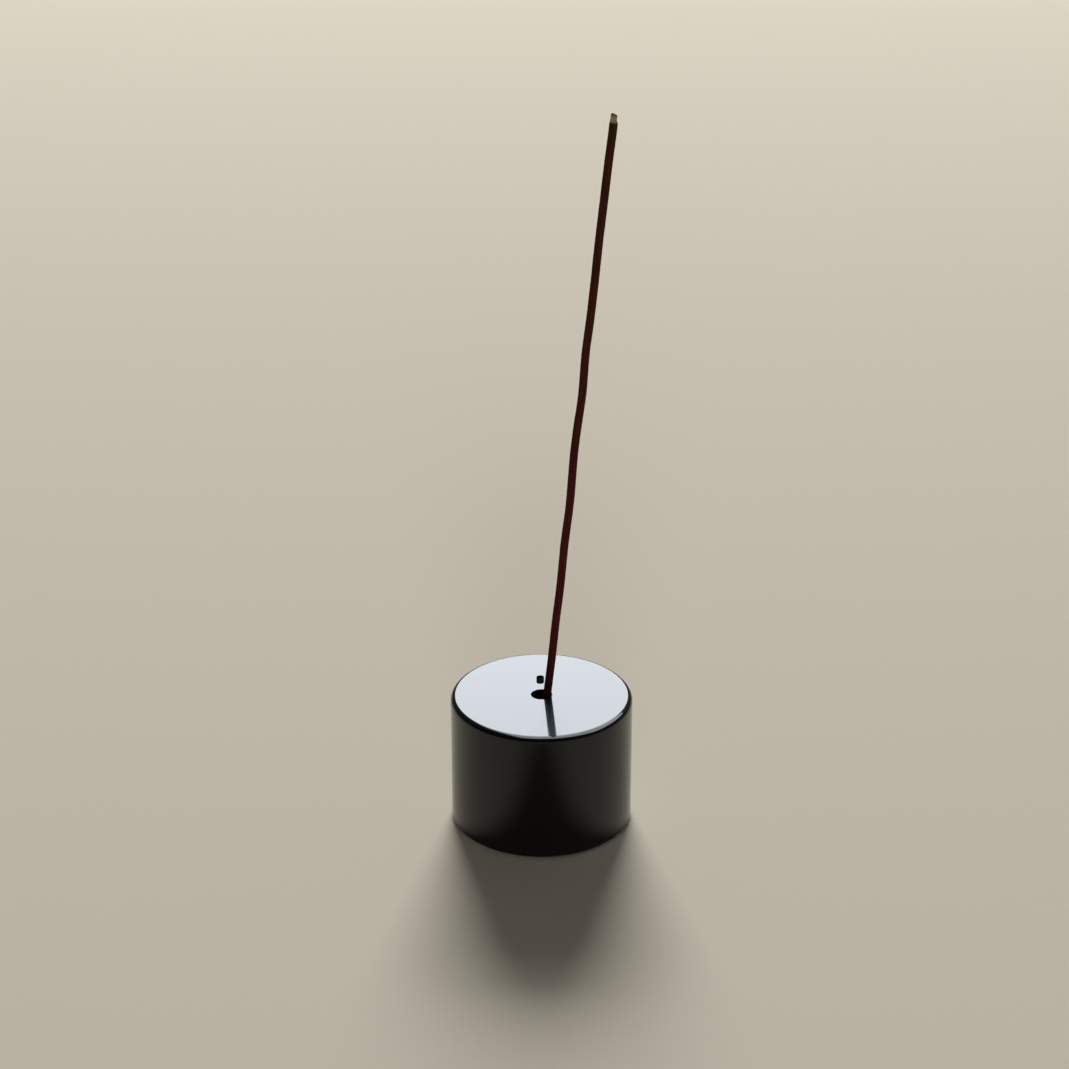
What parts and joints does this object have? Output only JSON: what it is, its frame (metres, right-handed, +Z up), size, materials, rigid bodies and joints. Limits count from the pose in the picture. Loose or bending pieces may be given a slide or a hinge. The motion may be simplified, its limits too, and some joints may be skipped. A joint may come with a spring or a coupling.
{
  "type": "incense stick holder",
  "caption": "Polished black round block on a felt pad, drilled in the middle of its top to hold a leaning incense stick that can be drawn out of the hole.",
  "frame": {"origin": "on the surface the holder stands on, under the middle of the block", "axes": "+Z up along the block's axis; the hole is on that axis; the pictured side faces -Y and the stick leans towards +X and a little +Y"},
  "size_m": [0.05, 0.05, 0.2011],
  "materials": {
    "black_glass": "polished",
    "felt": "matte",
    "incense": "matte",
    "ash": "matte"
  },
  "bodies": {
    "holder": {"holder_body": "black_glass", "base_pad": "felt"},
    "stick": {"incense_stick": "incense", "ash_tip": "ash"}
  },
  "joints": [
    {"name": "stick_lift", "type": "slide", "parent": "holder", "child": "stick", "axis": [0.1005, 0.0269, 0.9946], "range_m": [0, 0.04]}
  ]
}
